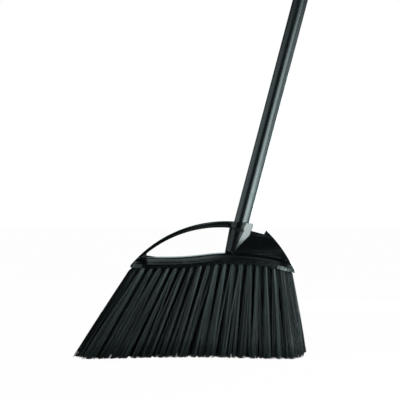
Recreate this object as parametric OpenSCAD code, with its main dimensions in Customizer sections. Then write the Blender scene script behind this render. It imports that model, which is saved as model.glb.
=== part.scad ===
// Angle broom: a fan of bristle tufts set in a block, held in a moulded cap with a loop grip, a socket
// post and a gable wing, on a tubular handle that screws into the post.
// Millimetres, +Z up, +X along the sweep towards the handle's side, +Y to the back.
// The origin is where the handle's axis meets the floor.

/* [Handle] */
// Outside diameter of the handle tube
handle_d = 22.2; // [21:0.1:24]
// Wall thickness of the handle tube
tube_wall = 0.6; // [0.4:0.1:1.2]
// Length of the handle tube
tube_len = 1190; // [900:10:1400]
// Lean of the handle from the vertical, in degrees
lean = 14.8; // [13:0.1:16.5]

/* [Threaded tip] */
// Major diameter of the threaded tip
thread_d = 18.9; // [17:0.1:19]
// Length of the thread
thread_len = 27; // [20:1:28]
// Length of the plugs inside the tube's two ends
plug_len = 25; // [15:1:40]
// Diameter of the core hole in the moulded plugs
core_d = 12; // [8:0.5:14]
// Thickness of the flanges that close the tube's ends
flange_t = 2; // [1.5:0.1:3]

/* [Cap] */
// Height of the cap's rim above the floor, on its straight stretch
rim_low = 133.3; // [120:1:150]
// How far the rim rises from the straight stretch to its crest
crest_rise = 6.4; // [5:0.1:8]
// Radius of the rim over its crest
crest_r = 316; // [290:1:340]
// How far the crest lies past the handle's axis
crest_shift = 1.1; // [0:0.1:3]
// Distance from the straight stretch's end to the crest
crest_run = 95; // [88:1:105]
// Distance from the crest to the centre of the round end on the long side
long_reach = 123; // [115:1:130]
// Distance from the crest to the centre of the round end on the short side
short_reach = 67; // [64:1:70]
// Half of the cap's depth, and the radius of its round ends
cap_half = 28; // [27.5:0.5:31]
// Height of the cap's flat top above its rim
cap_h = 15.5; // [14.5:0.5:18]
// Height of the skirt
skirt_h = 5.8; // [4.5:0.1:7]
// How far the skirt stands out past the shoulder
skirt_proud = 0.7; // [0.4:0.1:1.2]
// Radius of the cap's shoulder
shoulder_r = 11.5; // [10:0.5:12]
// Wall thickness of the cap
cap_wall = 2; // [1.6:0.1:2.2]

/* [Loop grip] */
// Height of the grip's highest point above the cap's flat top
grip_rise = 47.1; // [45:0.1:50]
// How far that point lies from the crest, towards the long side
grip_shift = 8.2; // [4:0.2:11]
// Height of the opening above the cap's flat top
opening_rise = 37.8; // [35:0.1:39]
// How far the opening's highest point lies from the crest, towards the long side
opening_shift = 17; // [15:0.5:20]
// Distance from the cap's tip to the foot of the opening's arc
opening_inset = 18.2; // [17:0.2:20]
// Distance from there to the foot of the ramp that fills the opening's corner
ramp_run = 22; // [18:1:26]
// Length of this ramp
ramp_len = 16.2; // [13:0.2:17]
// Slope of this ramp, in degrees
ramp_slope = 8.4; // [6:0.2:10]
// Depth of the grip from front to back
grip_depth = 17; // [14:1:20]
// Cut-back of the grip's edges
grip_round = 3; // [2:0.5:3.5]

/* [Socket post] */
// Radius of the post at the floor of its bore
post_r = 13.2; // [12.5:0.1:15]
// Growth of the post's radius along its axis, as a slope
post_taper = 0.074; // [0.06:0.002:0.1]
// How far the collar stands out past the post
collar_proud = 0.8; // [0.5:0.1:1.5]
// How far the prow between the two facets stands out past the post
prow_proud = 2; // [1.5:0.1:2.5]
// Height of the bore's floor above the cap's flat top
bore_lift = 3.4; // [3:0.2:5]
// Depth of the bore below the step that seats the tube
thread_depth = 29; // [28:0.5:31]
// Direction that the post's flat facet faces, in degrees from +X towards the front
facet_turn = 51.4; // [46:0.2:56]
// Distance from the handle's axis to the facet at the floor of the bore
facet_foot = 11; // [10.8:0.1:12]
// Lean of the facet away from the handle's axis, in degrees
facet_lean = 7.4; // [6.8:0.1:8]

/* [Wing] */
// Height above the cap's flat top at which the wing's top edge leaves the collar
wing_rise = 33.1; // [31:0.1:35]
// Distance from the crest to the tip of the tooth at the wing's outer corner
tooth_shift = 51.8; // [50:0.1:54]
// Half of the wing's thickness at the cap's flat top
wing_half = 13.5; // [12:0.5:15]
// Radius of the wing's two bowed faces
wing_r = 110; // [100:1:130]
// How far the centres of these faces lie below the cap's flat top
wing_drop = 19; // [15:1:22]
// Radius of the wing's outer edge
edge_r = 175; // [120:5:260]
// Height of the tooth at the wing's outer corner
tooth_h = 5.5; // [3:0.5:7]

/* [Brush] */
// Distance from the rim up to the underside of the block
block_recess = 1.5; // [0.5:0.5:2.5]
// Radius of a tuft in its hole
tuft_r = 3; // [2.5:0.1:3.1]
// Radius of a tuft's spread tip
tip_r = 7.5; // [5:0.5:8]
// Depth of the tuft holes
hole_depth = 9; // [7:0.5:9.5]
// Distance between neighbouring tufts across the block
row_pitch = 10; // [9.5:0.1:10.2]
// Least wall between a tuft hole and the edge of the block
block_margin = 1; // [0.6:0.1:1.5]
// How much further the first and the last tuft stand in from the block's round ends
nose_margin = 2; // [1.6:0.1:2.6]
// Spread of the brush from front to back at the floor, as a multiple of its spread at the block
flare = 2; // [1.8:0.1:2.2]
// Distance along the floor between tuft tips, on the long side of the handle's axis
long_pitch = 17.3; // [16.5:0.1:18.5]
// Distance along the floor between tuft tips, on the short side
short_pitch = 17.8; // [17:0.1:18.5]
// Thickness of the wire that anchors a tuft
anchor_t = 0.5; // [0.4:0.1:0.8]
// Height of the anchor wire's flat section
anchor_h = 1.8; // [1.4:0.1:2.2]
// How far an anchor bites into each side of its hole
anchor_bite = 0.8; // [0.4:0.1:1]

/* [Block screws] */
// Shank diameter of the screws that hold the block in the cap
screw_d = 4; // [3.5:0.1:4.5]
// Head diameter of these screws
screw_head_d = 8; // [7:0.5:8.5]
// Thickness of their heads
screw_head_t = 2.4; // [2:0.1:2.8]
// Length of the shank below the head
screw_len = 8.5; // [7:0.5:9]
// Diameter of the bosses that they are driven into
boss_d = 9; // [8:0.5:10]
// How deep the bosses reach into the block
boss_reach = 4.5; // [3.5:0.5:5]

/* [Hanger] */
// Diameter of the hanging hole
hang_hole_d = 10; // [8:0.5:11]
// Thickness of the hanger's tab
tab_t = 6; // [5:0.5:8]
// Height of the hanging hole above the hanger's foot
hang_h = 24; // [22:1:28]
// Height of the hanger's round foot
foot_h = 12; // [11:0.5:14]
// Diameter of the pin that the hanger swivels on
pin_d = 6; // [5:0.5:7]
// Diameter of the pin's retaining head
pin_head_d = 9; // [8.5:0.5:10]
// Thickness of the foot's floor, which the pin passes through
foot_floor = 4; // [3:0.5:5]

/* [Clearances] */
// Radial running clearance of the thread and of the swivel pin
run_gap = 0.06; // [0.02:0.01:0.1]
// Clearance between the block and the cap and at the seats
fit_gap = 0.25; // [0.15:0.05:0.3]
// Radial clearance round the tube in the collar, where only the thread below holds it
collar_gap = 0.7; // [0.65:0.05:1]
// Radial clearance of pieces that are pressed or set into each other
press_gap = 0.03; // [0.02:0.01:0.05]

/* [Hidden] */
$fn = 96;
COLUMNS = 20;
HOME_COLUMN = 11;
SCREW_COLUMNS = [3, 9, 15];
ROWS = 5;
SHOULDER_STEPS = 6;
END_STEPS = 9;
RUN_STEPS = 24;
FAR = 500;
EPS = 0.01;

function tuft_name(i) = str("tufts_", i < 9 ? "0" : "", i + 1);

MOULDED = [0.07, 0.075, 0.08];
BLACK_STEEL = [0.10, 0.11, 0.12];
BRISTLE = [0.13, 0.14, 0.145];
ZINC = [0.70, 0.71, 0.72];

// Where the handle's axis passes height z
function axis_x(z) = z * tan(lean);

crest_z = rim_low + crest_rise;
crest_x = axis_x(crest_z) + crest_shift;
bend_x = crest_x - crest_run;
long_end_x = crest_x - long_reach;
short_end_x = crest_x + short_reach;
top_z = crest_z + cap_h;

handle_r = handle_d / 2;
tube_r = handle_r - tube_wall;
thread_r = thread_d / 2;
bore_r = thread_r + run_gap;
bore_s = (top_z + bore_lift) / cos(lean);
seat_s = bore_s + thread_depth;
flange_s = seat_s + fit_gap;
tube_s = flange_s + flange_t;
tube_top_s = tube_s + tube_len;
plug_top_s = tube_top_s + flange_t;
hanger_s = plug_top_s + fit_gap;

// The rim is a straight stretch, a valley arc and a crest arc, each tangent to the next
valley_r = (pow(crest_run, 2) - 2 * crest_r * crest_rise + pow(crest_rise, 2)) / (2 * crest_rise);
blend_x = crest_x - crest_r * crest_run / (crest_r + valley_r);

// Height of the cap's rim above the floor at x
function rim_z(x) =
    x < bend_x ? rim_low
    : x < blend_x ? rim_low + valley_r - sqrt(pow(valley_r, 2) - pow(x - bend_x, 2))
    : crest_z - crest_r + sqrt(pow(crest_r, 2) - pow(x - crest_x, 2));

// Half of a section: up the skirt and over the round shoulder to the flat top, set inwards by inset
shoulder_y = cap_half - skirt_proud - shoulder_r;
shoulder_h = cap_h - shoulder_r;
function shoulder(inset, from_a) = [for (i = [0:SHOULDER_STEPS])
    let (a = from_a + (90 - from_a) * i / SHOULDER_STEPS)
    [shoulder_y + (shoulder_r - inset) * cos(a), shoulder_h + (shoulder_r - inset) * sin(a)]];
function outside() = concat([[cap_half, 0], [cap_half, skirt_h]],
    shoulder(0, asin((skirt_h - shoulder_h) / shoulder_r)));
function inside(inset, base) = concat([[shoulder_y + shoulder_r - inset, base]], shoulder(inset, 0));

// Front edge in plan, from the long end's tip to the short end's tip, for a body of this half-depth
function plan(half_depth) = concat(
    [for (i = [0:END_STEPS]) let (a = 90 * i / END_STEPS)
        [long_end_x - half_depth * cos(a), -half_depth * sin(a)]],
    [for (i = [1:RUN_STEPS - 1]) [long_end_x + (short_end_x - long_end_x) * i / RUN_STEPS, -half_depth]],
    [for (i = [END_STEPS:-1:0]) let (a = 90 * i / END_STEPS)
        [short_end_x + half_depth * cos(a), -half_depth * sin(a)]]);
TIP = 2 * END_STEPS + RUN_STEPS;
LOOP = 2 * TIP;

// A loft along the rim: each point [half-depth, height] of a half-section gives one loop round the body
module loft(half) {
    points = [for (p = half) let (front = plan(p[0])) for (i = [0:LOOP - 1])
        let (q = i <= TIP ? front[i] : [front[LOOP - i][0], -front[LOOP - i][1]])
        [q[0], q[1], rim_z(q[0]) + p[1]]];
    last = (len(half) - 1) * LOOP;
    sides = [for (k = [0:len(half) - 2]) for (i = [0:LOOP - 1]) let (j = (i + 1) % LOOP)
        [k * LOOP + i, (k + 1) * LOOP + i, (k + 1) * LOOP + j, k * LOOP + j]];
    across = [for (i = [1:TIP - 2]) [i, i + 1, LOOP - i - 1, LOOP - i]];
    ends = [[0, 1, LOOP - 1], [TIP - 1, TIP, TIP + 1]];
    lid = concat(across, ends);
    polyhedron(points, concat(sides, lid, [for (f = lid) [for (n = [len(f) - 1:-1:0]) last + f[n]]]));
}

// Moves a shape drawn round +Z onto the handle's axis, s millimetres up from the floor
module on_handle(s) translate([s * sin(lean), 0, s * cos(lean)]) rotate([0, lean, 0]) children();

// Gives an outline drawn in the X-Z plane its depth from front to back
module slab(depth) rotate([90, 0, 0]) linear_extrude(depth, center = true) children();

// Turns a profile of [radius, depth] points round a line from front to back through at
module turned(at, profile)
    translate([at[0], 0, at[1]]) rotate([90, 0, 0]) rotate_extrude($fn = 360) polygon(profile);

// The grip is a band between two arcs. Each arc runs from a foot on the long side through a highest point
function arc_r(run, rise) = (pow(run, 2) + pow(rise, 2)) / (2 * rise);
grip_top = [crest_x - grip_shift, top_z + grip_rise];
grip_foot_z = rim_low + skirt_h / 2;
grip_r = arc_r(grip_top[0] - long_end_x + cap_half, grip_top[1] - grip_foot_z);
grip_c = grip_top - [0, grip_r];
opening_top = [crest_x - opening_shift, top_z + opening_rise];
opening_foot_x = long_end_x - cap_half + opening_inset;
opening_r = arc_r(opening_top[0] - opening_foot_x, opening_top[1] - rim_low - cap_h);
opening_c = opening_top - [0, opening_r];

module grip_disc() translate(grip_c) circle(grip_r, $fn = 360);

// Everything under the grip's outer arc, which also rounds the cap off at its long end
module under_arc(inset) slab(FAR) {
    translate(grip_c) circle(grip_r - inset, $fn = 360);
    translate([grip_top[0], 0]) square(FAR);
}
module opening_disc() translate(opening_c) circle(opening_r, $fn = 360);

module grip() {
    half = grip_depth / 2;
    ease = grip_round / 3;
    cut = grip_round * 0.6;
    difference() {
        intersection() {
            turned(grip_c, [
                [grip_r / 2, -half], [grip_r - grip_round, -half], [grip_r - ease, -half + ease],
                [grip_r, -half + grip_round], [grip_r, half - grip_round],
                [grip_r - ease, half - ease], [grip_r - grip_round, half], [grip_r / 2, half]]);
            translate([-FAR, -FAR / 2, grip_foot_z]) cube([FAR + axis_x(top_z + grip_rise), FAR, FAR]);
        }
        intersection() {
            turned(opening_c, [
                [0, -half - cut], [opening_r + 2 * cut, -half - cut], [opening_r, -half + cut],
                [opening_r, half - cut], [opening_r + 2 * cut, half + cut], [0, half + cut]]);
            translate([opening_foot_x + ramp_run, -FAR / 2, 0]) {
                cube(FAR);
                translate([0, 0, rim_low + cap_h]) rotate([0, ramp_slope, 0]) translate([-ramp_len, 0, 0]) cube(FAR);
            }
        }
    }
}

module post_cone(step) {
    foot = thread_r;
    height = 2 * thread_depth;
    on_handle(bore_s - foot) cylinder(h = height,
        r1 = post_r - foot * post_taper + step, r2 = post_r + (height - foot) * post_taper + step);
}

// The socket post, and the collar that carries the grip's band round it
module post() {
    intersection() {
        post_cone(0);
        slab(FAR) grip_disc();
    }
    intersection() {
        post_cone(collar_proud);
        slab(FAR) difference() {
            grip_disc();
            opening_disc();
        }
    }
}

// Where the post turns into the wing it is thicker, from the middle of one facet to the middle of the other
module prow() {
    intersection() {
        post_cone(prow_proud);
        slab(FAR) grip_disc();
        on_handle(0) linear_extrude(FAR)
            polygon([[0, 0], FAR * [cos(facet_turn), -sin(facet_turn)], FAR * [cos(facet_turn), sin(facet_turn)]]);
    }
}

// The flats that face the post's two sides between the grip and the wing
module facets() for (side = [0, 1]) mirror([0, side, 0]) on_handle(bore_s)
    rotate([0, 0, -facet_turn]) translate([facet_foot, 0, 0]) rotate([0, facet_lean, 0])
        translate([0, -FAR / 2, -FAR / 2]) cube(FAR);

module bore() {
    on_handle(bore_s) cylinder(h = thread_depth + EPS, r = bore_r);
    on_handle(seat_s) cylinder(h = 2 * thread_depth, r = handle_r + collar_gap);
}

// The wing's outline: its top edge falls from the collar to a toothed corner, and a bowed edge leads down
wing_top = [axis_x(top_z + wing_rise) + post_r + thread_depth * post_taper, top_z + wing_rise];
tooth_tip = [crest_x + tooth_shift, wing_top[1]];
tooth_root = tooth_tip - [0.6 * tooth_h, tooth_h];
wing_foot_z = top_z - cap_h / 2;
wing_corner = [short_end_x + shoulder_y + skirt_h / 2, rim_z(short_end_x + shoulder_y) + cap_h];

// Centre of the arc of radius r from a down to b that bulges away from the handle
function arc_centre(a, b, r) =
    let (d = b - a, m = (a + b) / 2, n = [d[1], -d[0]] / norm(d)) m + n * sqrt(pow(r, 2) - pow(norm(d) / 2, 2));
edge_c = arc_centre(tooth_tip, wing_corner, edge_r);

module wing_outline(inset) {
    intersection() {
        polygon([
            [axis_x(wing_foot_z), wing_foot_z], [axis_x(wing_top[1]), wing_top[1] - 2 * inset],
            wing_top - [0, 2 * inset], tooth_root - [0, 2 * inset],
            tooth_tip - [inset, 4 * inset], tooth_tip + [crest_run, -crest_run],
            wing_corner - [0, cap_h / 2]]);
        translate(edge_c) circle(edge_r - inset, $fn = 360);
    }
}

// The wing's section, a gable with two bowed faces
module gable(inset) {
    bow = sqrt(pow(wing_r, 2) - pow(wing_drop, 2)) - wing_half;
    rotate([90, 0, 90]) linear_extrude(FAR / 2) intersection_for (side = [-1, 1])
        translate([side * bow, top_z - wing_drop]) circle(wing_r - inset, $fn = 180);
}

module wing(inset) {
    intersection() {
        slab(FAR) wing_outline(inset);
        gable(inset);
    }
}

// Brush block

block_inset = cap_wall + fit_gap;
block_edge = shoulder_y + shoulder_r - block_inset;
root_reach = block_edge - tuft_r - block_margin;
first_root = long_end_x - root_reach + nose_margin;
last_root = short_end_x + root_reach - nose_margin;
root_pitch = (last_root - first_root) / (COLUMNS - 1);
function block_z(x) = rim_z(x) + block_recess;

// Every other row across the block stands half a pitch on, so that no gap leads through the brush
function row_y(j) = (j - (ROWS - 1) / 2) * row_pitch;
function place(i, j) = i + j % 2 / 2;
function column_x(i, j) = first_root + place(i, j) * root_pitch;
// A root follows its column, and the block's round end where the column would miss it
function end_x(i, y) = let (bulge = sqrt(pow(root_reach, 2) - pow(y, 2)))
    i < COLUMNS / 2 ? long_end_x - bulge : short_end_x + bulge;
function root_x(i, j) = let (x = column_x(i, j), end = end_x(i, row_y(j)))
    i < COLUMNS / 2 ? max(x, end) : min(x, end);
function is_screw(i, j) = row_y(j) == 0 && len(search(i, SCREW_COLUMNS)) > 0;
function is_set(i, j) = !is_screw(i, j) && abs(root_x(i, j) - column_x(i, j)) < root_pitch / 2;
function tip_x(p) = (p - HOME_COLUMN) * (p < HOME_COLUMN ? long_pitch : short_pitch);

// One tuft is [its mouth at the block's underside, its tip on the floor]
function tufts_in(i) = [for (j = [0:ROWS - 1]) let (y = row_y(j), x = root_x(i, j))
    if (is_set(i, j)) [[x, y, block_z(x)], [tip_x(place(i, j)), flare * y, 0]]];

// Moves a shape drawn round +Z onto a tuft's mouth, with +Z up into its hole
module at_mouth(tuft) {
    d = tuft[0] - tuft[1];
    translate(tuft[0]) rotate([0, 0, atan2(d[1], d[0])]) rotate([0, acos(d[2] / norm(d)), 0]) children();
}

anchor_len = 2 * (tuft_r + press_gap + anchor_bite);

module anchor(tuft, gap)
    at_mouth(tuft) translate([0, 0, hole_depth - 1.5 * anchor_h])
        cube([anchor_t + 2 * gap, anchor_len, anchor_h + 2 * gap], center = true);

// A tuft is straight for its own radius below the mouth, then it spreads to past the floor, which cuts it
module tuft(t) {
    fan = norm(t[0] - t[1]) - tuft_r;
    past = 1.1;
    difference() {
        at_mouth(t) {
            translate([0, 0, -tuft_r]) cylinder(h = tuft_r + hole_depth - press_gap, r = tuft_r);
            translate([0, 0, -tuft_r - fan * past])
                cylinder(h = fan * past, r1 = tuft_r + (tip_r - tuft_r) * past, r2 = tuft_r);
        }
        translate([-FAR, -FAR / 2, -FAR]) cube([2 * FAR, FAR, FAR]);
        anchor(t, press_gap);
    }
}

module tuft_column(i) color(BRISTLE) for (t = tufts_in(i)) tuft(t);

module tuft_anchors() color(ZINC) for (i = [0:COLUMNS - 1]) for (t = tufts_in(i)) anchor(t, 0);

// Screws through the block into bosses under the cap's roof

screw_seat = block_recess + screw_head_t + fit_gap;
boss_foot = cap_h - cap_wall - boss_reach;
module at_screws() for (i = SCREW_COLUMNS) let (x = column_x(i, 0)) translate([x, 0, rim_z(x)]) children();

module block_screws() {
    color(ZINC) at_screws() {
        translate([0, 0, screw_seat - screw_head_t]) difference() {
            cylinder(h = screw_head_t, d = screw_head_d);
            for (a = [0, 90]) rotate(a) translate([-screw_head_d / 4, -screw_d / 10, -EPS])
                cube([screw_head_d / 2, screw_d / 5, screw_head_t / 2]);
        }
        translate([0, 0, screw_seat]) cylinder(h = screw_len, d = screw_d);
    }
}

module brush_block() {
    color(MOULDED) difference() {
        intersection() {
            loft(inside(block_inset, block_recess));
            under_arc(block_inset);
        }
        for (i = [0:COLUMNS - 1]) for (t = tufts_in(i))
            at_mouth(t) translate([0, 0, -tuft_r]) cylinder(h = tuft_r + hole_depth, r = tuft_r + press_gap);
        at_screws() {
            translate([0, 0, -block_recess]) cylinder(h = block_recess + screw_seat, d = screw_head_d + 4 * fit_gap);
            cylinder(h = cap_h, d = screw_d + 2 * fit_gap);
            translate([0, 0, boss_foot - fit_gap]) cylinder(h = cap_h, d = boss_d + 2 * fit_gap);
        }
    }
}

// Moulded cap with the grip, the socket post and the wing

module bosses() at_screws() translate([0, 0, boss_foot]) cylinder(h = FAR / 10, d = boss_d);

module head_cap() {
    color(MOULDED) difference() {
        union() {
            intersection() {
                loft(outside());
                under_arc(0);
            }
            grip();
            difference() {
                union() {
                    post();
                    prow();
                }
                facets();
            }
            wing(0);
        }
        difference() {
            intersection() {
                loft(inside(cap_wall, -1));
                under_arc(cap_wall);
            }
            bosses();
        }
        difference() {
            wing(cap_wall);
            post_cone(0);
            bosses();
        }
        bore();
        at_screws() cylinder(h = screw_seat + screw_len + fit_gap, r = screw_d / 2 + press_gap);
    }
}

// Handle

module handle_tube() {
    color(BLACK_STEEL) on_handle(tube_s) difference() {
        cylinder(h = tube_len, r = handle_r);
        translate([0, 0, -EPS]) cylinder(h = tube_len + 2 * EPS, r = tube_r);
    }
}

module threaded_tip() {
    lead = thread_r / 4;
    plug_r = tube_r - press_gap;
    color(MOULDED) on_handle(flange_s) difference() {
        union() {
            translate([0, 0, -thread_len + lead]) cylinder(h = thread_len - lead, r = thread_r);
            translate([0, 0, -thread_len]) cylinder(h = lead, r1 = thread_r - lead / 2, r2 = thread_r);
            cylinder(h = flange_t, r = handle_r);
            cylinder(h = flange_t + plug_len, r = plug_r);
        }
        cylinder(h = flange_t + plug_len + EPS, d = core_d);
    }
}

pin_stem = foot_floor + 2 * fit_gap;
pin_head_t = foot_h / 5;

module end_plug() {
    color(MOULDED) on_handle(tube_top_s) difference() {
        union() {
            translate([0, 0, -plug_len]) cylinder(h = plug_len, r = tube_r - press_gap);
            cylinder(h = flange_t, r = handle_r);
            cylinder(h = flange_t + pin_stem, d = pin_d);
            translate([0, 0, flange_t + pin_stem]) cylinder(h = pin_head_t, d = pin_head_d);
        }
        translate([0, 0, -plug_len - EPS]) cylinder(h = plug_len, d = core_d);
    }
}

module hanger() {
    tab_r = handle_r - fit_gap;
    color(MOULDED) on_handle(hanger_s) difference() {
        union() {
            cylinder(h = foot_h, r = tab_r);
            intersection() {
                slab(tab_t) {
                    translate([0, hang_h]) circle(tab_r);
                    translate([-tab_r, foot_h / 2]) square([2 * tab_r, hang_h - foot_h / 2]);
                }
                cylinder(h = FAR, r = tab_r);
            }
        }
        slab(handle_d) translate([0, hang_h]) circle(d = hang_hole_d);
        translate([0, 0, -EPS]) cylinder(h = foot_floor + 2 * EPS, r = pin_d / 2 + run_gap);
        translate([0, 0, foot_floor]) cylinder(h = pin_head_t + 2 * fit_gap, r = pin_head_d / 2 + fit_gap);
    }
}

head_cap();
brush_block();
tuft_anchors();
block_screws();
handle_tube();
threaded_tip();
end_plug();
hanger();
for (i = [0:COLUMNS - 1])
    tuft_column(i);
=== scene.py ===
# Looks of an angle broom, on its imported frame. Metres, +Z up, +X towards the side that the handle leans to.
import bmesh
import bpy
import numpy as np
from math import radians, sin, cos, tan, pi, sqrt
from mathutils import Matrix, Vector


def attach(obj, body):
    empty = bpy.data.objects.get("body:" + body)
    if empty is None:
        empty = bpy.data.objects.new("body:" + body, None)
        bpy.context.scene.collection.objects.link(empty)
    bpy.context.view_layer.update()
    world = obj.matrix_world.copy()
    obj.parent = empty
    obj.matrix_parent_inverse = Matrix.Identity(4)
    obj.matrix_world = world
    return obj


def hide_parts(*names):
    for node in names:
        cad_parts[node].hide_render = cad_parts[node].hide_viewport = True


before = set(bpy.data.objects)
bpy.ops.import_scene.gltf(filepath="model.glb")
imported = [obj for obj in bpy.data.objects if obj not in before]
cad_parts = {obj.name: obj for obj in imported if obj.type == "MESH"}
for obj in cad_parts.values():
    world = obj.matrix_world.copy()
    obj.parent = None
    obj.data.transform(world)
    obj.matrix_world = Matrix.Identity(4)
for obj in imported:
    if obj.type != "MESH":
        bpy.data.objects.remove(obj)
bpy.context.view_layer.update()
mm = 0.001


class Wire:
    # a shader socket; an expression on wires adds its Math nodes, also with a number on its left
    def __init__(self, finish, socket):
        self.finish, self.socket = finish, socket

    def __add__(self, other): return self.finish.math("ADD", self, other)
    def __radd__(self, other): return self.finish.math("ADD", other, self)
    def __sub__(self, other): return self.finish.math("SUBTRACT", self, other)
    def __rsub__(self, other): return self.finish.math("SUBTRACT", other, self)
    def __mul__(self, other): return self.finish.math("MULTIPLY", self, other)
    def __rmul__(self, other): return self.finish.math("MULTIPLY", other, self)

    def between(self, low, high):
        # 0 below low, 1 above high, smooth on the way
        return self.finish.node("ShaderNodeMapRange", {"interpolation_type": "SMOOTHSTEP"},
                                {"Value": self, "From Min": low, "From Max": high})


class Finish:
    # one material and the nodes in it
    def __init__(self, name):
        self.material = bpy.data.materials.new(name)
        self.material.use_nodes = True
        self.tree = self.material.node_tree
        self.tree.nodes.clear()

    def node(self, kind, settings=None, sockets=None, out=0):
        made = self.tree.nodes.new(kind)
        for key, value in (settings or {}).items():
            setattr(made, key, value)
        for key, value in (sockets or {}).items():
            if isinstance(value, Wire):
                self.tree.links.new(value.socket, made.inputs[key])
            else:
                made.inputs[key].default_value = value
        return Wire(self, made.outputs[out])

    def math(self, operation, *values):
        return self.node("ShaderNodeMath", {"operation": operation}, dict(enumerate(values)))

    def place(self):
        return self.node("ShaderNodeTexCoord", out="Object")

    def noise(self, vector, scale, detail=2.0, stretch=None):
        if stretch:
            vector = self.node("ShaderNodeMapping", {}, {"Vector": vector, "Scale": stretch})
        return self.node("ShaderNodeTexNoise", {}, {"Vector": vector, "Scale": scale, "Detail": detail})

    def blend(self, mask, first, second):
        # a colour between two others
        pair = [value if isinstance(value, Wire) else (*value, 1) for value in (first, second)]
        return self.node("ShaderNodeMix", {"data_type": "RGBA"}, {0: mask, 6: pair[0], 7: pair[1]}, out=2)

    def bump(self, height, strength, distance=0.0002):
        return self.node("ShaderNodeBump", {}, {"Height": height, "Strength": strength, "Distance": distance})

    def done(self, surface=None, **sockets):
        if surface is None:
            named = {key.replace("_", " "): value for key, value in sockets.items()}
            surface = self.node("ShaderNodeBsdfPrincipled", {}, named)
        self.tree.links.new(surface.socket, self.tree.nodes.new("ShaderNodeOutputMaterial").inputs[0])
        return self.material


def shade(colour, factor):
    # the colour times the factor, no brighter than white
    return tuple(min(1.0, c * factor) for c in colour)


# What the frame was built with, in millimetres; the scene's own pieces are worked out from the same sizes
handle = {"lean": radians(14.8), "outside": 22.2, "wall": 0.6, "tubeLength": 1190.0}
tip = {"major": 18.9, "length": 27.0, "plug": 25.0, "core": 12.0, "flange": 2.0, "press": 0.03}
cap = {"rimLow": 133.3, "crestRise": 6.4, "crestRadius": 316.0, "crestShift": 1.1, "crestRun": 95.0,
       "longReach": 123.0, "shortReach": 67.0, "half": 28.0, "height": 15.5, "skirtProud": 0.7, "wall": 2.0,
       "boreLift": 3.4, "threadDepth": 29.0, "gap": 0.25, "facetTurn": radians(51.4), "facetLean": radians(7.4)}
brush = {"columns": 20, "home": 11, "screws": (3, 9, 15), "rows": 5, "recess": 1.5, "tuft": 3.0, "tip": 7.5,
         "pitch": 10.0, "margin": 1.0, "noseMargin": 2.0, "flare": 2.0, "longPitch": 17.3, "shortPitch": 17.8}

crestZ = cap["rimLow"] + cap["crestRise"]
topZ = crestZ + cap["height"]
crestX = crestZ * tan(handle["lean"]) + cap["crestShift"]
bendX = crestX - cap["crestRun"]
longX, shortX = crestX - cap["longReach"], crestX + cap["shortReach"]
# the valley's radius lets it touch the straight stretch and meet the crest at blendX without a kink
valleyR = cap["crestRun"] ** 2 - 2 * cap["crestRadius"] * cap["crestRise"] + cap["crestRise"] ** 2
valleyR /= 2 * cap["crestRise"]
blendX = crestX - cap["crestRadius"] * cap["crestRun"] / (cap["crestRadius"] + valleyR)
# where the tip's flange and the tube start, along the handle's axis from the floor
flangeS = (topZ + cap["boreLift"]) / cos(handle["lean"]) + cap["threadDepth"] + cap["gap"]
tubeS = flangeS + tip["flange"]


def rimZ(x):
    # height of the cap's rim: a straight stretch, then a valley arc, then a crest arc
    valley = cap["rimLow"] + valleyR - np.sqrt(np.maximum(valleyR ** 2 - (x - bendX) ** 2, 0))
    crest = crestZ - cap["crestRadius"] + np.sqrt(np.maximum(cap["crestRadius"] ** 2 - (x - crestX) ** 2, 0))
    return np.where(x < bendX, cap["rimLow"], np.where(x < blendX, valley, crest))


def onHandle(points, s):
    # points drawn round +Z in millimetres are carried s along the handle's axis and come back in metres
    c, d = cos(handle["lean"]), sin(handle["lean"])
    x, y, z = points[..., 0], points[..., 1], points[..., 2] + s
    return np.stack([x * c + z * d, y, z * c - x * d], -1) * mm


def gridFaces(rows, columns):
    # quads between rings of points, each ring closed on itself; they face out where rings run anticlockwise
    i, j = np.arange(rows - 1)[:, None] * columns, np.arange(columns)[None, :]
    k = (j + 1) % columns
    return np.stack([i + j, i + k, i + columns + k, i + columns + j], -1).reshape(-1, 4)


def closedFaces(rows, columns):
    # the same with a lid on the first and on the last ring
    last = (rows - 1) * columns + np.arange(columns)
    return gridFaces(rows, columns).tolist() + [np.arange(columns)[::-1].tolist(), last.tolist()]


def addPiece(name, mesh, finishes, body, nodes, sharp=None):
    for finish in finishes:
        mesh.materials.append(finish)
    mesh.shade_smooth()
    piece = bpy.data.objects.new(name, mesh)
    if sharp:
        mesh.set_sharp_from_angle(angle=radians(sharp))
        piece.modifiers.new("even", "WEIGHTED_NORMAL").keep_sharp = True
    bpy.context.scene.collection.objects.link(piece)
    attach(piece, body)
    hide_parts(*nodes)
    return piece


def newMesh(name, points, faces):
    mesh = bpy.data.meshes.new(name)
    mesh.from_pydata(points.reshape(-1, 3).tolist(), [], faces)
    return mesh


# The camera stands in front and a little above, and its long lens keeps the broom's proportions
camera = {"middle": (-8.9, 233.8), "width": 596.4, "distance": 3000.0, "elevation": 1.0, "sensor": 36.0,
          "clip": 50}


def makeCamera():
    data = bpy.data.cameras.new("camera")
    data.sensor_width = camera["sensor"]
    data.lens = camera["sensor"] * camera["distance"] / camera["width"]
    data.clip_end = camera["clip"]
    lens = bpy.data.objects.new("camera", data)
    e = radians(camera["elevation"])
    target = Vector((camera["middle"][0], 0, camera["middle"][1])) * mm
    lens.location = target + Vector((0, -cos(e), sin(e))) * camera["distance"] * mm
    lens.rotation_euler = (radians(90) - e, 0, 0)
    bpy.context.scene.collection.objects.link(lens)
    bpy.context.scene.camera = lens


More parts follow.
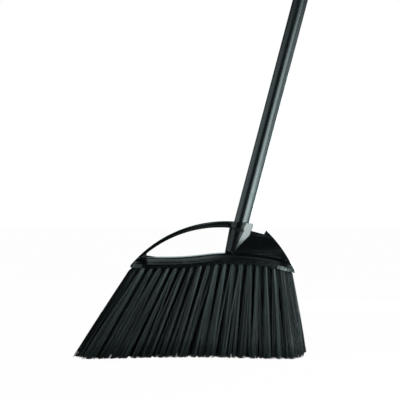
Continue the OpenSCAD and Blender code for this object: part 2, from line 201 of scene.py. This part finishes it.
# Lamps are soft panels that face a point on the broom; both points are in metres
lamps = {
    "lowRight": {"at": (0.55, -0.69, 0.235), "aim": (0.03, 0, 0.2), "size": (0.66, 0.45), "radiance": 7.3},
    "lowStrip": {"at": (0.55, -0.69, 0.055), "aim": (0.03, 0, 0.2), "size": (0.66, 0.11), "radiance": 10.5},
    "lowSide": {"at": (0.56, -0.24, 0.075), "aim": (0.03, 0, 0.2), "size": (0.44, 0.14), "radiance": 6.0},
    "side": {"at": (0.70, 0.01, 0.22), "aim": (0.03, 0, 0.2), "size": (0.60, 0.42), "radiance": 1.9},
    "floorCard": {"at": (0.35, -0.080, 0.020), "aim": (0.056, -0.012, 0.18), "size": (0.22, 0.12),
                  "radiance": 6.9, "tint": (0.87, 1.0, 0.985)},
    "left": {"at": (-1.43, -0.28, 0.51), "aim": (0.03, 0, 0.2), "size": (2.1, 1.0), "radiance": 1.6},
    "frontTop": {"at": (-0.11, -0.42, 0.86), "aim": (-0.11, 0, 0.15), "size": (0.13, 0.40), "radiance": 3.0},
    "overhead": {"at": (-0.11, 0.05, 0.98), "aim": (-0.11, 0, 0.15), "size": (0.13, 0.60), "radiance": 3.0},
    "topRight": {"at": (0.30, -0.40, 0.84), "aim": (0.08, 0, 0.15), "size": (0.30, 0.50), "radiance": 1.1},
    "back": {"at": (0, 1.8, 0.40), "aim": (0, 0, 0.2), "size": (2.4, 0.70), "radiance": 1.0},
    "backRight": {"at": (0.51, 1.20, 0.20), "aim": (0.1, 0, 0.15), "size": (0.5, 0.36), "radiance": 7.0},
}
# The floor's paint, how much of it the camera sees as plain white, the dim light all round, the lamps' tint,
# half of the floor's side and how far it lies under the bristles
studio = {"floor": 0.80, "glow": 0.985, "room": 0.034, "tint": (0.80, 0.985, 1.0), "reach": 6, "below": 0.0004}


def makeLamp(name, at, aim, size, radiance, tint=studio["tint"]):
    # a panel of this radiance gives pi x its area x the radiance in watts
    data = bpy.data.lights.new(name, "AREA")
    data.shape, data.size, data.size_y = "RECTANGLE", *size
    data.energy = radiance * pi * size[0] * size[1]
    data.color = tint
    lamp = bpy.data.objects.new(name, data)
    lamp.location = at
    lamp.rotation_euler = (Vector(aim) - Vector(at)).to_track_quat("-Z", "Y").to_euler()
    lamp.visible_camera = False
    bpy.context.scene.collection.objects.link(lamp)


def makeStudio():
    for name, lamp in lamps.items():
        makeLamp(name, **lamp)
    paint = Finish("paleFloor")
    seen = paint.node("ShaderNodeLightPath", out="Is Camera Ray")
    matt = paint.node("ShaderNodeBsdfDiffuse", {}, {"Color": (*[studio["floor"]] * 3, 1)})
    white = paint.node("ShaderNodeEmission", {}, {"Color": (1, 1, 1, 1), "Strength": 1.0})
    paint.done(surface=paint.node("ShaderNodeMixShader", {}, {0: seen * studio["glow"], 1: matt, 2: white}))
    mesh = bpy.data.meshes.new("floor")
    far, low = studio["reach"], -studio["below"]
    corners = [(-far, -far, low), (far, -far, low), (far, far, low), (-far, far, low)]
    mesh.from_pydata(corners, [], [(0, 1, 2, 3)])
    mesh.materials.append(paint.material)
    floor = bpy.data.objects.new("floor", mesh)
    bpy.context.scene.collection.objects.link(floor)

    world = bpy.data.worlds.new("studio")
    world.use_nodes = True
    bpy.context.scene.world = world
    nodes, links = world.node_tree.nodes, world.node_tree.links
    nodes.clear()
    path, mix = nodes.new("ShaderNodeLightPath"), nodes.new("ShaderNodeMixShader")
    links.new(path.outputs["Is Camera Ray"], mix.inputs[0])
    for slot, level, colour in ((1, studio["room"], studio["tint"]), (2, 1.0, (1, 1, 1))):
        sky = nodes.new("ShaderNodeBackground")
        sky.inputs["Color"].default_value = (*colour, 1)
        sky.inputs["Strength"].default_value = level
        links.new(sky.outputs[0], mix.inputs[slot])
    links.new(mix.outputs[0], nodes.new("ShaderNodeOutputWorld").inputs[0])


makeCamera()
makeStudio()
bpy.context.scene.view_settings.view_transform = "Standard"
print("camera, lamps and studio made")


# Finishes: base is a colour, rough a roughness and gloss a refractive index; noises are given by their scale
plastic = {"base": (0.0011, 0.0013, 0.0014), "rough": 0.225, "grain": 1500, "grainDepth": 0.12, "gloss": 1.34}
blockPlastic = {"base": (0.0016, 0.0020, 0.0022), "rough": 0.45, "grain": 1200, "grainDepth": 0.30,
                "gloss": 1.34}
# the post's flats: glossier than the cap, and their lighter base colour is a painted highlight
polishedPaintedSheen = {"base": (0.0060, 0.0070, 0.0070), "rough": 0.20, "grain": 900, "grainDepth": 0.06, "gloss": 1.62}
moulding = {"clouds": 38, "mottle": (0.85, 1.15), "cloudRough": 0.10, "scuffs": 900, "scuffWay": (0.06, 1, 0.5),
            "scuffFrom": (0.62, 0.74), "scuffShare": 0.25, "scuffTone": 2.2, "scuffRough": 0.06}
coating = {"base": (0.0016, 0.0028, 0.0031), "rough": 0.25, "gloss": 1.5, "peel": 420, "peelDepth": 0.03,
           "clouds": 22, "mottle": (0.9, 1.1), "cloudRough": 0.05, "rubs": 260, "rubWay": (1, 1, 0.05),
           "rubFrom": (0.60, 0.72), "rubRough": 0.08}
# the strands' lower part takes a painted shade: darker towards the floor, up to the given height in metres
fibre = {"dark": (0.0052, 0.0062, 0.0065), "light": (0.074, 0.087, 0.088), "rough": 0.32, "gloss": 1.38,
         "ownRough": 0.08, "drawLines": 700, "drawWay": (1, 1, 0.08), "drawRough": 0.12,
         "lowerReach": 0.15, "paintedLowerShade": 0.55, "lowerRough": 0.14}
zinc = {"dark": (0.52, 0.53, 0.55), "light": (0.68, 0.68, 0.67), "rough": 0.25, "clouds": 400,
        "cloudRough": 0.2}


def mouldedPlastic(name, look):
    # a spark-eroded mould's fine grain, slow clouds in tone and gloss, and faint scuffs along the sweep
    f = Finish(name)
    at = f.place()
    cloud, grain = f.noise(at, moulding["clouds"], 3), f.noise(at, look["grain"], 2)
    scuffs = f.noise(at, moulding["scuffs"], 2, moulding["scuffWay"]).between(*moulding["scuffFrom"])
    tone = f.blend(cloud, *(shade(look["base"], part) for part in moulding["mottle"]))
    worn = f.blend(scuffs * moulding["scuffShare"], tone, shade(look["base"], moulding["scuffTone"]))
    smoothest = look["rough"] - moulding["cloudRough"] / 2
    return f.done(Base_Color=worn, IOR=look["gloss"], Normal=f.bump(grain, look["grainDepth"]),
                  Roughness=cloud * moulding["cloudRough"] + smoothest + scuffs * moulding["scuffRough"])


def coatedSteel(name, look):
    # powder coat with a slight orange peel, rubbed here and there along the tube
    f = Finish(name)
    at = f.place()
    cloud = f.noise(at, look["clouds"], 2)
    rub = f.noise(at, look["rubs"], 3, look["rubWay"]).between(*look["rubFrom"])
    tone = f.blend(cloud, *(shade(look["base"], part) for part in look["mottle"]))
    return f.done(Base_Color=tone, IOR=look["gloss"],
                  Roughness=rub * look["rubRough"] + cloud * look["cloudRough"] + look["rough"],
                  Normal=f.bump(f.noise(at, look["peel"], 2), look["peelDepth"]))


def drawnFilament(name, look):
    # each strand has its own tone, fine draw lines change its gloss, and its lower part is duller and, as
    # painted shade, darker
    f = Finish(name)
    own = f.node("ShaderNodeAttribute", {"attribute_name": "tone"}, out="Fac")
    at = f.place()
    lines = f.noise(at, look["drawLines"], 2, look["drawWay"])
    height = f.node("ShaderNodeSeparateXYZ", {}, {"Vector": at}, out="Z")
    # painted shade: 1 at the floor, fading out up the strands; the same mask makes them duller there
    lowerPart = 1 - height.between(0.0, look["lowerReach"])
    tone = f.blend(own * (1 - lowerPart * look["paintedLowerShade"]), look["dark"], look["light"])
    rough = own * look["ownRough"] + lines * look["drawRough"] + lowerPart * look["lowerRough"] + look["rough"]
    return f.done(Base_Color=tone, IOR=look["gloss"], Roughness=rough)


def zincPlate(name, look):
    # bare metal whose tone and gloss change together in small clouds
    f = Finish(name)
    cloud = f.noise(f.place(), look["clouds"], 3)
    return f.done(Base_Color=f.blend(cloud, look["dark"], look["light"]), Metallic=1.0,
                  Roughness=cloud * look["cloudRough"] + look["rough"])


capFinish = mouldedPlastic("capPlastic", plastic)
blockFinish = mouldedPlastic("blockPlastic", blockPlastic)
facetPaintedSheenFinish = mouldedPlastic("polishedFacetPaintedSheen", polishedPaintedSheen)
tubeFinish = coatedSteel("blackCoating", coating)
fibreFinish = drawnFilament("blackFilament", fibre)
zincFinish = zincPlate("zincPlate", zinc)
print("finishes made")


# Tufts: each is made of locks, and each lock of strands, that leave the hole tight and fan out to the floor.
# Lengths are in millimetres; a pair is along and across the sweep unless its line says otherwise
tuft = {"locks": 16, "strands": 8, "sides": 4, "rings": (0.0, 0.022, 0.055, 0.14, 0.32, 0.55, 0.80, 1.0),
        "thick": 0.52, "uneven": (0.85, 1.15), "taper": 0.25,   # a strand's width, its spread, its end's loss
        "pack": 0.90, "sunk": 1.0,                              # how full the hole is, the start inside it
        "lockWide": 1.8, "oval": (1.0, 1.3),                    # a lock at the floor, and the tuft's form
        "wander": (3.4, 2.0), "sway": 1.4,                      # how far locks and tufts stray at the floor
        "loose": 0.5, "strays": 0.03, "strayLoose": 3.0,        # the same for strands, and for a few more so
        "bow": (1.2, 0.4),                                      # of a lock, and of a strand in it
        "inside": 0.4, "lift": 0.3, "trim": 0.7,                # off the sides, off the floor, uneven cut
        "arch": 2.2, "archEnds": (40, 50),                      # the cut's rise, its distance from the ends
        "worn": 9, "wornSlope": 0.8,                            # the short end's corner
        "hug": (2.2, 1.2),                                      # out to the rim at the long and short end
        "bloom": (0.7, 3.2), "opensBy": 0.05,                   # how outer and inner rows open at the hole
        "spread": ((0, 1, 2, 9, 16, 17), (1.0, 1.6, 2.0, 1.0, 1.0, 0.6)),   # columns, times the opening
        "tone": (0.7, 0.3), "tonePower": 4,                     # a lock's share, a strand's; few are pale
        "seed": 7}


def tuftsIn(i):
    # mouths at the block's underside and tips on the floor; every other row stands half a pitch further on,
    # the rows stop on the block's round ends, and a screw takes the place of a tuft in the middle row
    blockEdge = cap["half"] - cap["skirtProud"] - cap["wall"] - cap["gap"]
    reach = blockEdge - brush["tuft"] - brush["margin"]
    first, last = longX - reach + brush["noseMargin"], shortX + reach - brush["noseMargin"]
    pitch = (last - first) / (brush["columns"] - 1)
    row = np.arange(brush["rows"])
    y = (row - (brush["rows"] - 1) / 2) * brush["pitch"]
    place = i + row % 2 / 2
    column = first + place * pitch
    bulge = np.sqrt(reach ** 2 - y ** 2)
    x = np.maximum(column, longX - bulge) if i < brush["columns"] / 2 else np.minimum(column, shortX + bulge)
    keep = np.abs(x - column) < 0.5 * pitch
    if i in brush["screws"]:
        keep &= y != 0
    x, y, place = x[keep], y[keep], place[keep] - brush["home"]
    tipX = place * np.where(place < 0, brush["longPitch"], brush["shortPitch"])
    return np.stack([x, y, rimZ(x) + brush["recess"]], -1), np.stack([tipX, brush["flare"] * y, 0 * y], -1)


def disc(count, turn):
    # count places spread evenly over a unit disc, on a sunflower spiral that starts at turn
    n = np.arange(count)
    a = n * pi * (3 - sqrt(5)) + turn[..., None]
    r = np.sqrt((n + 0.5) / count)
    return np.stack([r * np.cos(a), r * np.sin(a)], -1)


def strandEnds(mouths, tips, shape, rng):
    # a strand's place in the hole is its lock's place plus its own in the lock, and so is its place on the
    # floor, where chance moves the tuft, the lock and the strand, and the broom's outline holds them in
    lock = disc(shape[1], rng.uniform(0, 2 * pi, shape[0]))[:, :, None]
    strand = disc(shape[2], rng.uniform(0, 2 * pi, shape[:2]))
    tight = brush["tuft"] / sqrt(shape[1])
    root = (lock * (brush["tuft"] - tight) + strand * (tight - tuft["thick"] / 2)) * tuft["pack"]
    wander = rng.normal(0, 1, (*shape[:2], 1, 2)) * tuft["wander"]
    loose = rng.normal(0, tuft["loose"], (*shape, 2))
    strays = rng.random((*shape, 1)) < tuft["strays"]
    loose = loose + strays * rng.normal(0, tuft["strayLoose"], (*shape, 2))
    fan = lock * (brush["tip"] - 0.5 * tuft["lockWide"]) + strand * tuft["lockWide"]
    fan = fan * tuft["oval"] + wander + loose
    tips = tips + rng.normal(0, tuft["sway"], tips.shape) * [1, 1, 0]

    start, end = np.zeros((*shape, 3)), np.zeros((*shape, 3))
    start[..., :2] = mouths[:, None, None, :2] + root
    start[..., 2] = mouths[:, None, None, 2] + tuft["sunk"]
    low = tuftsIn(0)[1][:, 0].min() - brush["tip"]
    high = tuftsIn(brush["columns"] - 1)[1][:, 0].max() + brush["tip"]
    side = brush["flare"] * brush["pitch"] * (brush["rows"] - 1) / 2 + brush["tip"]
    end[..., 0] = np.clip(tips[:, None, None, 0] + fan[..., 0], low + tuft["inside"], high - tuft["inside"])
    end[..., 1] = np.clip(tips[:, None, None, 1] + fan[..., 1], tuft["inside"] - side, side - tuft["inside"])
    # the cut is a little higher in the middle of the sweep, and its last corner is worn off
    middle = np.clip((end[..., 0] - low - tuft["archEnds"][0]) / (high - low - sum(tuft["archEnds"])), 0, 1)
    worn = np.clip(end[..., 0] - high + tuft["worn"], 0, None) * tuft["wornSlope"]
    cut = np.abs(rng.normal(0, tuft["trim"], shape))
    end[..., 2] = tuft["lift"] + cut + tuft["arch"] * np.sin(pi * middle) + worn
    return root, start, end


def strandLines(i, mouths, root, start, end, rng):
    # a strand's middle line is straight from end to end, plus a bow that is zero at both ends, plus what
    # spreads the tuft below its hole and fades out towards the floor
    shape = root.shape[:3]
    t = np.array(tuft["rings"])[:, None]
    lockBow, ownBow = tuft["bow"]
    bow = (rng.normal(0, lockBow, (*shape[:2], 1, 3)) + rng.normal(0, ownBow, (*shape, 3))) * [1, 1, 0]
    line = start[..., None, :] + (end - start)[..., None, :] * t + bow[..., None, :] * np.sin(pi * t) * t
    opens = np.clip(t / tuft["opensBy"], 0, 1)
    # the outermost tufts lean out to the rim as soon as they leave the block
    hug = {0: -tuft["hug"][0], brush["columns"] - 1: tuft["hug"][1]}.get(i, 0)
    outward = 0.5 + 0.5 * np.sign(hug) * (root[..., :1] / brush["tuft"])
    line[..., 0] += hug * outward * (opens * (1 - t))[:, 0]
    # a tuft opens as it leaves its hole, and the inner rows open more than the outer ones
    outer = np.abs(mouths[:, 1]) > brush["pitch"] * 1.5
    bloom = np.where(outer, *tuft["bloom"])[:, None, None, None, None] * np.interp(i, *tuft["spread"])
    line[..., :2] += (root / brush["tuft"])[..., None, :] * bloom * opens * (1 - t)
    return line


def tuftColumn(i, rng):
    # all strands of one column: the rings round their middle lines are small polygons square to the straight
    # way from end to end, thinner towards the floor
    mouths, tips = tuftsIn(i)
    shape = (len(mouths), tuft["locks"], tuft["strands"])
    root, start, end = strandEnds(mouths, tips, shape, rng)
    line = strandLines(i, mouths, root, start, end, rng)

    way = end - start
    way /= np.linalg.norm(way, axis=-1, keepdims=True)
    across = np.cross(way, [0.0, 1.0, 0.0])
    across /= np.linalg.norm(across, axis=-1, keepdims=True)
    rings, sides = len(tuft["rings"]), tuft["sides"]
    b = (np.arange(sides) * 2 * pi / sides)[:, None]
    ring = across[..., None, None, :] * np.cos(b) + np.cross(way, across)[..., None, None, :] * np.sin(b)
    taper = 1 - tuft["taper"] * np.array(tuft["rings"])[:, None, None] ** 4
    thick = tuft["thick"] / 2 * rng.uniform(*tuft["uneven"], (*shape, 1, 1, 1)) * taper
    points = (line[..., None, :] + ring * thick) * mm

    lids = np.array([np.arange(sides)[::-1], (rings - 1) * sides + np.arange(sides)])
    one = np.concatenate([gridFaces(rings, sides), lids])
    faces = (one + (np.arange(np.prod(shape)) * rings * sides)[:, None, None]).reshape(-1, 4)
    lockTone = rng.uniform(0, 1, (*shape[:2], 1)) ** tuft["tonePower"]
    ownTone = rng.uniform(0, 1, shape) ** tuft["tonePower"]
    tone = tuft["tone"][0] * lockTone + tuft["tone"][1] * ownTone
    return points, faces, np.repeat(tone.reshape(-1), rings * sides)


def makeTufts():
    # one piece for each column, because that is how the frame groups them
    rng = np.random.default_rng(tuft["seed"])
    total = 0
    for i in range(brush["columns"]):
        points, faces, tone = tuftColumn(i, rng)
        number = f"{i + 1:02d}"
        mesh = newMesh("filaments_" + number, points, faces.tolist())
        mesh.attributes.new("tone", "FLOAT", "POINT").data.foreach_set("value", tone.astype(np.float32))
        addPiece("filaments_" + number, mesh, [fibreFinish], "head", ["tufts_" + number])
        total += 2 * len(faces)
    print("tufts made,", total, "triangles")


makeTufts()


# The tube's soft edge is in millimetres, and so are the thread's lengths; crease is an angle in degrees
tube = {"sides": 96, "rings": 24, "edge": 0.15, "crease": 35}


def makeTube():
    # a profile of (radius, height) up the outside and down the inside, turned round the handle's axis
    r, length = handle["outside"] / 2, handle["tubeLength"]
    bore, edge = r - handle["wall"], tube["edge"]
    up = np.linspace(edge, length - edge, tube["rings"])
    profile = np.array([(bore, 0), (r - edge, 0), *[(r, z) for z in up], (r - edge, length), (bore, length),
                        (bore, 0)])
    a = np.arange(tube["sides"]) * 2 * pi / tube["sides"]
    radius, z = profile[:, :1], profile[:, 1:]
    points = np.stack([radius * np.cos(a), radius * np.sin(a), z + 0 * a], -1)[:-1]
    rows = len(points)
    faces = gridFaces(rows + 1, tube["sides"]) % (rows * tube["sides"])
    mesh = newMesh("coatedTube", onHandle(points, tubeS), faces.tolist())
    addPiece("coatedTube", mesh, [tubeFinish], "handle", ["handle_tube"],
             sharp=tube["crease"])


makeTube()
print("tube turned")


# Crest and flank are shares of the pitch; the thread fades out below the flange, and its foot is a cone
thread = {"pitch": 5.08, "depth": 1.1, "step": 0.28, "sides": 96, "crest": 0.22, "flank": 0.22, "fade": 3,
          "neck": 0.4, "lead": 2.4, "leadSlope": 0.5, "crease": 35}


def makeThread():
    # r = major radius - depth x groove, where the groove's phase grows with height and falls with the angle,
    # and an ease turns its straight flanks into smooth ones; the flange and the plug are rings above it
    major, length = tip["major"] / 2, tip["length"]
    a = np.arange(thread["sides"]) * 2 * pi / thread["sides"]
    z = np.arange(-length, -thread["neck"], thread["step"])[:, None]
    phase = (z / thread["pitch"] - a / (2 * pi)) % 1
    groove = np.clip((0.5 - thread["crest"] / 2 - np.abs(phase - 0.5)) / thread["flank"], 0, 1)
    groove = groove * groove * (3 - 2 * groove) * np.clip(-z / thread["fade"], 0, 1)
    lead = np.clip(thread["lead"] - (z + length), 0, None) * thread["leadSlope"]
    radius = major - np.maximum(thread["depth"] * groove, lead)
    r, core = handle["outside"] / 2, tip["core"] / 2
    plug, seat = r - handle["wall"] - tip["press"], tip["flange"]
    top = seat + tip["plug"]
    upper = np.array([(major, 0), (r, 0), (r, seat), (plug, seat), (plug, top), (core, top), (core, 0.0)])
    radius = np.concatenate([radius, upper[:, :1] + 0 * a])
    z = np.concatenate([z + 0 * a, upper[:, 1:] + 0 * a])
    points = np.stack([radius * np.cos(a), radius * np.sin(a), z], -1)
    mesh = newMesh("threadedTip", onHandle(points, flangeS), closedFaces(len(points), thread["sides"]))
    addPiece("threadedTip", mesh, [capFinish], "handle", ["threaded_tip"],
             sharp=thread["crease"])


makeThread()
print("thread cut")


# The moulded solids: corners closer than merge in metres become one, edges under crease in degrees are
# smooth, and a face belongs to a facet where the cosine between them is over flat
cast = {"merge": 1e-6, "crease": 32, "flat": 0.9995}


def smoothCopy(node, name, body):
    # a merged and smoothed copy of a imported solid
    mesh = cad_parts[node].data.copy()
    merged = bmesh.new()
    merged.from_mesh(mesh)
    bmesh.ops.remove_doubles(merged, verts=merged.verts, dist=cast["merge"])
    merged.to_mesh(mesh)
    merged.free()
    mesh.materials.clear()
    return addPiece(name, mesh, [capFinish], body, [node], sharp=cast["crease"])


def polishFacetsPaintSheen(piece):
    # faces that lie along the post's two flats, which mirror each other in y, take the glossier finish, whose
    # lighter base colour is a painted highlight
    c, d = cos(handle["lean"]), sin(handle["lean"])
    level = cos(cap["facetLean"])
    x, y, z = level * cos(cap["facetTurn"]), level * sin(cap["facetTurn"]), -sin(cap["facetLean"])
    facing = np.array([x * c + z * d, y, z * c - x * d])
    mesh = piece.data
    normals = np.empty(3 * len(mesh.polygons), np.float32)
    mesh.polygons.foreach_get("normal", normals)
    normals = normals.reshape(-1, 3)
    normals[:, 1] = np.abs(normals[:, 1])
    flat = normals @ facing > cast["flat"]
    # this finish's lighter base colour paints a highlight on the flats
    mesh.materials.append(facetPaintedSheenFinish)
    mesh.polygons.foreach_set("material_index", flat.astype(np.int32))
    # an edge is sharp where only one of its two faces is flat
    edges = np.empty(len(mesh.loops), np.int32)
    mesh.loops.foreach_get("edge_index", edges)
    corners = np.empty(len(mesh.polygons), np.int32)
    mesh.polygons.foreach_get("loop_total", corners)
    flats = np.bincount(edges, np.repeat(flat, corners), len(mesh.edges))
    crease = mesh.attributes["sharp_edge"]
    sharp = np.empty(len(mesh.edges), bool)
    crease.data.foreach_get("value", sharp)
    crease.data.foreach_set("value", sharp | (flats == 1))
    print("facets polished,", int(flat.sum()), "faces")


polishFacetsPaintSheen(smoothCopy("head_cap", "mouldedCap", "head"))
smoothCopy("hanger", "swivelHanger", "hanger")
smoothCopy("end_plug", "pinPlug", "handle")
# the block, the anchors and the screws keep their own shapes
for node, finish in (("brush_block", blockFinish), ("tuft_anchors", zincFinish), ("block_screws", zincFinish)):
    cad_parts[node].data.materials.clear()
    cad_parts[node].data.materials.append(finish)
print("cap, block and fittings made")
